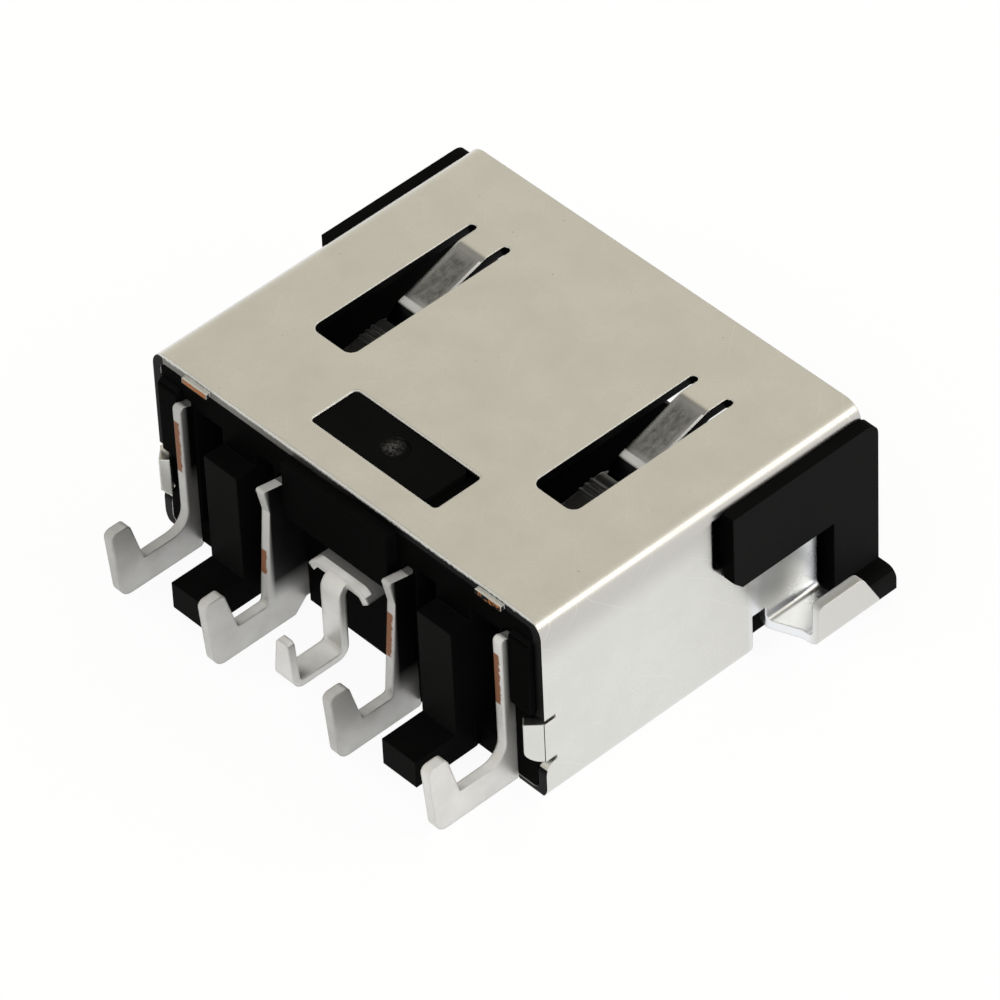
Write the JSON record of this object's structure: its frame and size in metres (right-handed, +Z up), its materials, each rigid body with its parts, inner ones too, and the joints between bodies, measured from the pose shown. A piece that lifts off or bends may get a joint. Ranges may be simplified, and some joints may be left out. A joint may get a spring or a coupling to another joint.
{
  "type": "rectangular dc power jack",
  "caption": "Slim rectangular DC power jack for a laptop board: folded metal shell, moulded housing with tongue and ears, hooked solder tails.",
  "frame": {"origin": "middle of the shell's underside, at mid-width and mid-depth of the shell", "axes": "+Y towards the mouth that takes the plug, +Z up from the face it rests on, +X to the right seen from the tails"},
  "size_m": [0.015, 0.0122, 0.0053],
  "materials": {
    "shell_plate": "satin nickel plating on folded sheet",
    "black_moulding": "fine moulded black",
    "tinned_copper": "bright tin plating over punched copper alloy"
  },
  "bodies": {
    "root": {"shell": "shell_plate", "housing": "black_moulding", "ground_terminal_left": "tinned_copper", "ground_terminal_right": "tinned_copper", "power_terminal_left": "tinned_copper", "power_terminal_right": "tinned_copper", "sense_terminal": "tinned_copper"}
  },
  "joints": []
}
